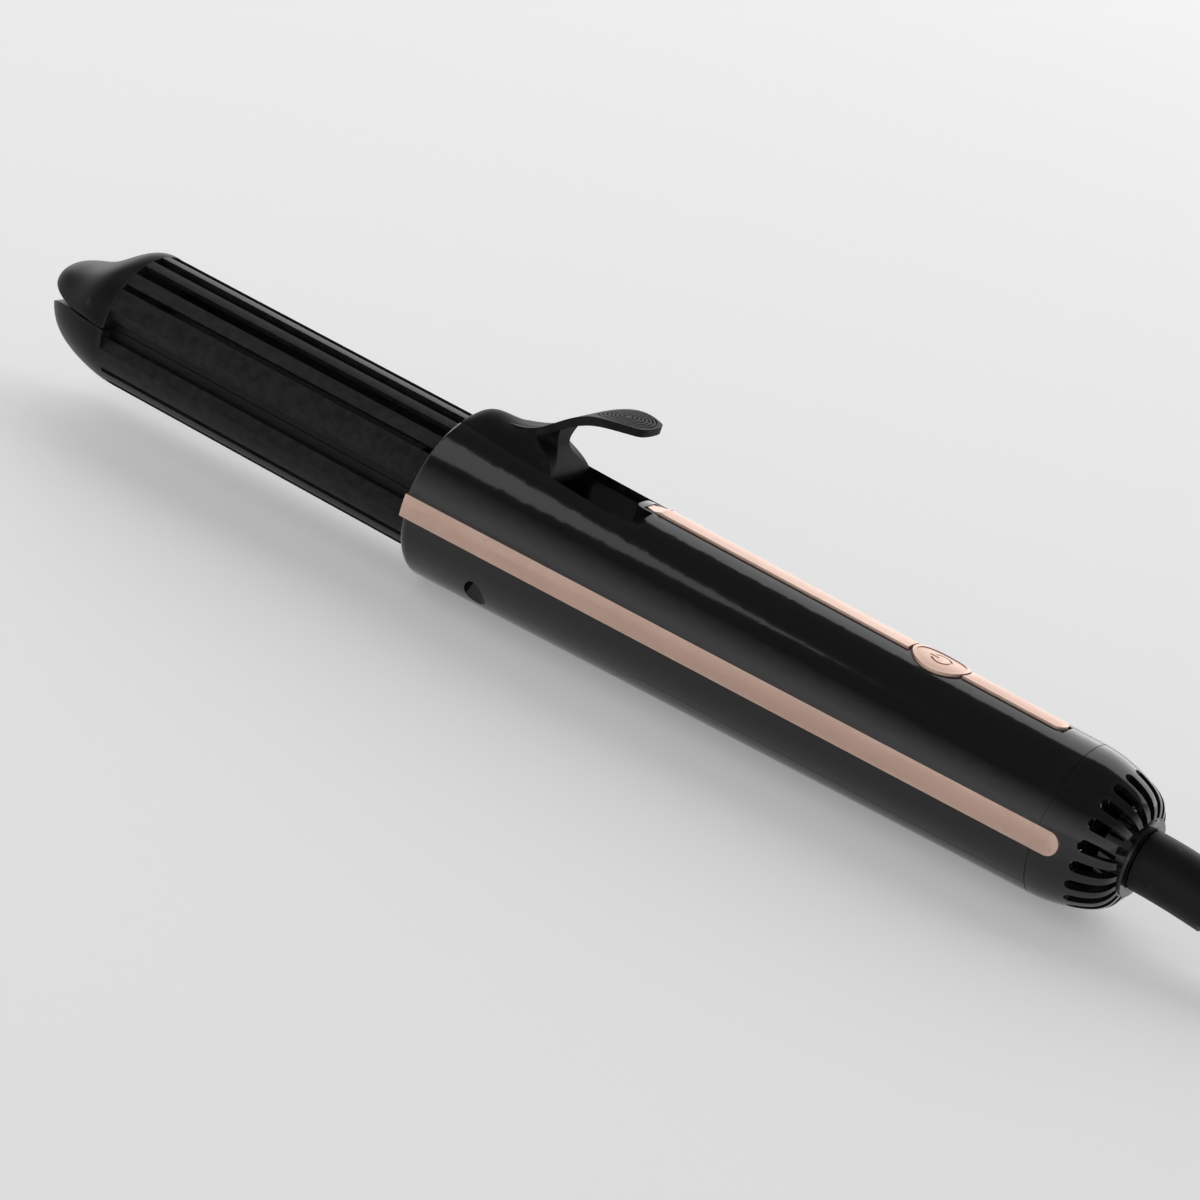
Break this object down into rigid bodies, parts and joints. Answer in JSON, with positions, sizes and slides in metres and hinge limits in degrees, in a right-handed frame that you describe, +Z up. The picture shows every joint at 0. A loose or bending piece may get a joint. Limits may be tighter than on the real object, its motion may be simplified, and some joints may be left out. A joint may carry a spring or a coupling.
{
  "type": "air curling wand",
  "caption": "Hair curling wand with two slotted half-round heated arms, sprung clamp lever, glossy tapering handle, power button, rear air inlet, cord folded into a tied hank, and plug.",
  "frame": {"origin": "on the surface it lies on, under the middle of the wand's own box, without the free cord, its hank and its plug", "axes": "+X along the wand from the arms' tip to the cord, +Z up through the lever and the button, +Y across the wand"},
  "size_m": [0.5546, 0.0578, 0.0569],
  "materials": {
    "housing_gloss": "piano black, high gloss",
    "pocket_plastic": "black, gloss",
    "arm_charcoal": "charcoal, satin",
    "plate_coated": "black ceramic coating on aluminium",
    "trim_rose": "rose gold, satin",
    "lever_soft": "soft touch black, matte",
    "cord_rubber": "black, matte",
    "plug_plastic": "black, fine grain",
    "prong_nickel": "nickel plated",
    "steel": "zinc plated",
    "heater_aluminium": "black anodised",
    "inner_plastic": "moulded, dark grey",
    "mount_rubber": "soft black",
    "board_green": "solder mask green"
  },
  "bodies": {
    "handle": {"upper_housing": "housing_gloss", "lower_housing": "housing_gloss", "lower_cover": "housing_gloss", "tail_cap": "housing_gloss", "pocket_liner": "pocket_plastic", "side_trim_left": "trim_rose", "side_trim_right": "trim_rose", "top_trim_front": "trim_rose", "top_trim_rear": "trim_rose", "lower_arm_shell": "arm_charcoal", "lower_arm_nose": "arm_charcoal", "lower_plate": "plate_coated", "lower_heater": "heater_aluminium", "thermal_fuse": "heater_aluminium", "pivot_pin": "steel", "torsion_spring": "steel", "air_duct": "inner_plastic", "fan_shroud": "mount_rubber", "fan_motor": "steel", "inlet_filter": "steel", "control_board": "board_green", "tact_switch": "inner_plastic", "swivel_retainer": "inner_plastic", "strain_relief": "cord_rubber", "housing_screw_left": "steel", "housing_screw_right": "steel", "cover_screw_front": "steel", "cover_screw_rear": "steel", "cord_lead": "cord_rubber", "cord_hank": "cord_rubber", "cord_tail": "cord_rubber", "hank_tie": "cord_rubber", "plug": "plug_plastic", "plug_prong_left": "prong_nickel", "plug_prong_right": "prong_nickel"},
    "clamp": {"upper_arm_shell": "arm_charcoal", "upper_arm_nose": "arm_charcoal", "upper_plate": "plate_coated", "upper_heater": "heater_aluminium", "clamp_lever": "lever_soft", "lever_screw_left": "steel", "lever_screw_right": "steel"},
    "button": {"power_button": "trim_rose", "switch_plunger": "inner_plastic"},
    "fan": {"fan_wheel": "inner_plastic", "motor_shaft": "steel"},
    "swivel": {"cord_swivel": "housing_gloss"}
  },
  "joints": [
    {"name": "clamp_hinge", "type": "hinge", "parent": "handle", "child": "clamp", "pos_m": [-0.05015, 0, 0.03337], "axis": [0, 1, 0], "range_deg": [0, 12], "stiffness_Nm_per_rad": 1.2, "springref_deg": -9.74},
    {"name": "button_press", "type": "slide", "parent": "handle", "child": "button", "axis": [-0.0246, 0, -0.9997], "range_m": [0, 0.0005], "stiffness_N_per_m": 1500, "springref_m": -0.0003},
    {"name": "fan_spin", "type": "hinge", "parent": "handle", "child": "fan", "pos_m": [0.10052, 0, 0.01801], "axis": [0.9997, 0, -0.0246], "continuous": true},
    {"name": "swivel_turn", "type": "hinge", "parent": "handle", "child": "swivel", "pos_m": [0.13051, 0, 0.01741], "axis": [0.9997, 0, -0.0246], "continuous": true}
  ]
}
